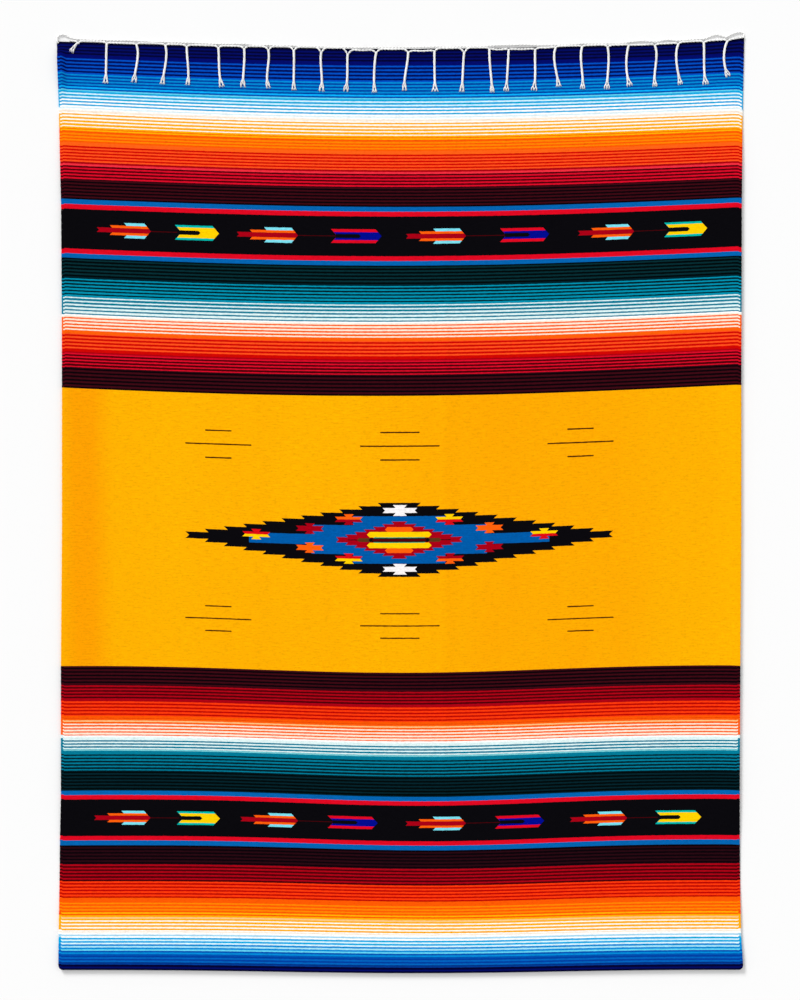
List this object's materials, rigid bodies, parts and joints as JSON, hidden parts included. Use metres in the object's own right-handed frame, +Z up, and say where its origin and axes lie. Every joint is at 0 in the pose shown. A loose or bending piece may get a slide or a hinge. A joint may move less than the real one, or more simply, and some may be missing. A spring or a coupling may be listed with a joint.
{
  "type": "striped serape blanket",
  "caption": "Serape blanket laid flat: striped colour bands, arrow bands, a stepped diamond on a yellow field, a knotted white fringe lying over the front and the lower end turned under.",
  "frame": {"origin": "centre of the bounding box, on the floor that the blanket lies on", "axes": "+Z is up out of the front, +Y runs along the blanket towards the fringed end, +X runs across it to the right of someone looking down at the front"},
  "size_m": [1.52, 2.082, 0.008],
  "materials": {
    "woven_web": "weft-faced ribbed weave, matt with a soft sheen",
    "cotton_fringe": "loosely twisted white cotton, matt"
  },
  "bodies": {
    "root": {"woven_web": "woven_web", "corner_loop_left": "cotton_fringe", "corner_bunch_right": "cotton_fringe", "tassel_01": "cotton_fringe", "tassel_02": "cotton_fringe", "tassel_03": "cotton_fringe", "tassel_04": "cotton_fringe", "tassel_05": "cotton_fringe", "tassel_06": "cotton_fringe", "tassel_07": "cotton_fringe", "tassel_08": "cotton_fringe", "tassel_09": "cotton_fringe", "tassel_10": "cotton_fringe", "tassel_11": "cotton_fringe", "tassel_12": "cotton_fringe", "tassel_13": "cotton_fringe", "tassel_14": "cotton_fringe", "tassel_15": "cotton_fringe", "tassel_16": "cotton_fringe", "tassel_17": "cotton_fringe", "tassel_18": "cotton_fringe", "tassel_19": "cotton_fringe", "tassel_20": "cotton_fringe", "tassel_21": "cotton_fringe", "tassel_22": "cotton_fringe", "tassel_23": "cotton_fringe", "tassel_24": "cotton_fringe", "tassel_25": "cotton_fringe", "tassel_26": "cotton_fringe"}
  },
  "joints": []
}
